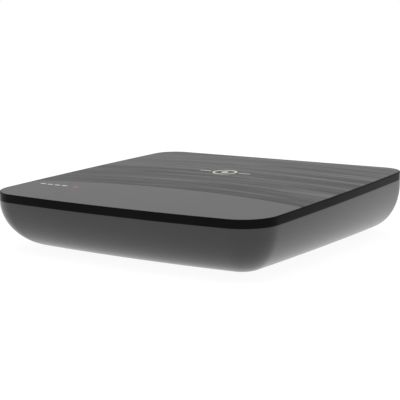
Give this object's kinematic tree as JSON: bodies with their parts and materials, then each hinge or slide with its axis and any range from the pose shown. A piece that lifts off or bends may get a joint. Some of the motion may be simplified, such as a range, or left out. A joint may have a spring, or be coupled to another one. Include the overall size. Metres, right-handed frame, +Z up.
{
  "type": "dvr recorder",
  "caption": "Compact video recorder: curved black plastic shell, flat brushed top with a smooth front band, rear socket panel and an internal hard disk drive.",
  "frame": {"origin": "bottom centre of the whole recorder, at the feet's lower face", "axes": "+Z up; the bowed front faces -Y and the sockets face +Y; X runs across the width"},
  "size_m": [0.2026, 0.2144, 0.0443],
  "materials": {
    "black_plastic": "moulded black plastic, satin, slightly glossy",
    "gloss_black": "polished black plastic",
    "brushed_black": "dark brushed panel with fine curved streaks",
    "clear_plastic": "red-tinted clear light pipe",
    "rubber": "black rubber",
    "zinc_screw": "zinc-plated steel",
    "sheet_steel": "zinc-coated sheet steel",
    "black_panel": "black painted sheet steel",
    "board_green": "green solder mask",
    "chip_black": "moulded chip package",
    "alloy": "extruded aluminium",
    "cast_alloy": "cast aluminium",
    "white_nylon": "white nylon",
    "black_nylon": "black nylon",
    "blue_plastic": "blue insert",
    "red_plastic": "red cable jacket",
    "yellow_plastic": "yellow wire insulation",
    "grey_ribbon": "grey flat cable",
    "nickel": "nickel plate",
    "gold": "gold-plated contact",
    "mirror_disk": "polished disk",
    "lamp_red": "small red lamp"
  },
  "bodies": {
    "recorder": {"bottom_shell": "black_plastic", "top_cover": "gloss_black", "front_band": "gloss_black", "top_panel": "brushed_black", "status_light_pipe": "clear_plastic", "status_board": "board_green", "status_lamp": "lamp_red", "rubber_feet": "rubber", "cover_screws": "zinc_screw", "board_screws": "zinc_screw", "hdd_screws": "zinc_screw", "rear_panel": "black_panel", "main_board": "board_green", "processor_chip": "chip_black", "processor_heatsink": "alloy", "memory_chips": "chip_black", "video_decoder_chips": "chip_black", "flash_chip": "chip_black", "electrolytic_capacitors": "alloy", "power_inductors": "chip_black", "lan_transformer": "chip_black", "coin_cell_holder": "black_nylon", "coin_cell": "nickel", "alarm_buzzer": "black_nylon", "board_headers": "white_nylon", "bnc_housings": "black_nylon", "bnc_barrels": "nickel", "bnc_insulators": "white_nylon", "bnc_contacts": "gold", "rca_housing": "black_nylon", "rca_rings": "nickel", "rca_insulators": "white_nylon", "rca_contacts": "nickel", "vga_shell": "nickel", "vga_insert": "blue_plastic", "vga_jackscrews": "nickel", "hdmi_shell": "nickel", "hdmi_tongue": "black_nylon", "usb_shell": "nickel", "usb_tongues": "white_nylon", "lan_jack_shell": "sheet_steel", "lan_jack_insert": "black_nylon", "dc_jack_body": "black_nylon", "dc_jack_pin": "nickel", "ground_screw": "zinc_screw", "power_switch_housing": "black_nylon", "hdd_base": "cast_alloy", "hdd_cover": "sheet_steel", "hdd_circuit_board": "board_green", "hdd_connector": "black_nylon", "hdd_magnets": "nickel", "sata_data_plugs": "red_plastic", "sata_power_plugs": "black_nylon", "sata_data_cable": "red_plastic", "sata_power_wires": "yellow_plastic", "status_cable": "grey_ribbon"},
    "platters": {"hdd_platters": "mirror_disk"},
    "head_arm": {"hdd_head_arm": "alloy"},
    "rocker": {"power_rocker": "black_nylon"}
  },
  "joints": [
    {"name": "platter_spin", "type": "hinge", "parent": "recorder", "child": "platters", "pos_m": [0.0255, -0.02615, 0.018], "axis": [0, 0, 1], "continuous": true},
    {"name": "head_arm_swing", "type": "hinge", "parent": "recorder", "child": "head_arm", "pos_m": [-0.026, -0.00815, 0.018], "axis": [0, 0, 1], "range_deg": [0, 30]},
    {"name": "power_rocker_tilt", "type": "hinge", "parent": "recorder", "child": "rocker", "pos_m": [-0.027, 0.0946, 0.0283], "axis": [0, 0, 1], "range_deg": [0, 16]}
  ]
}
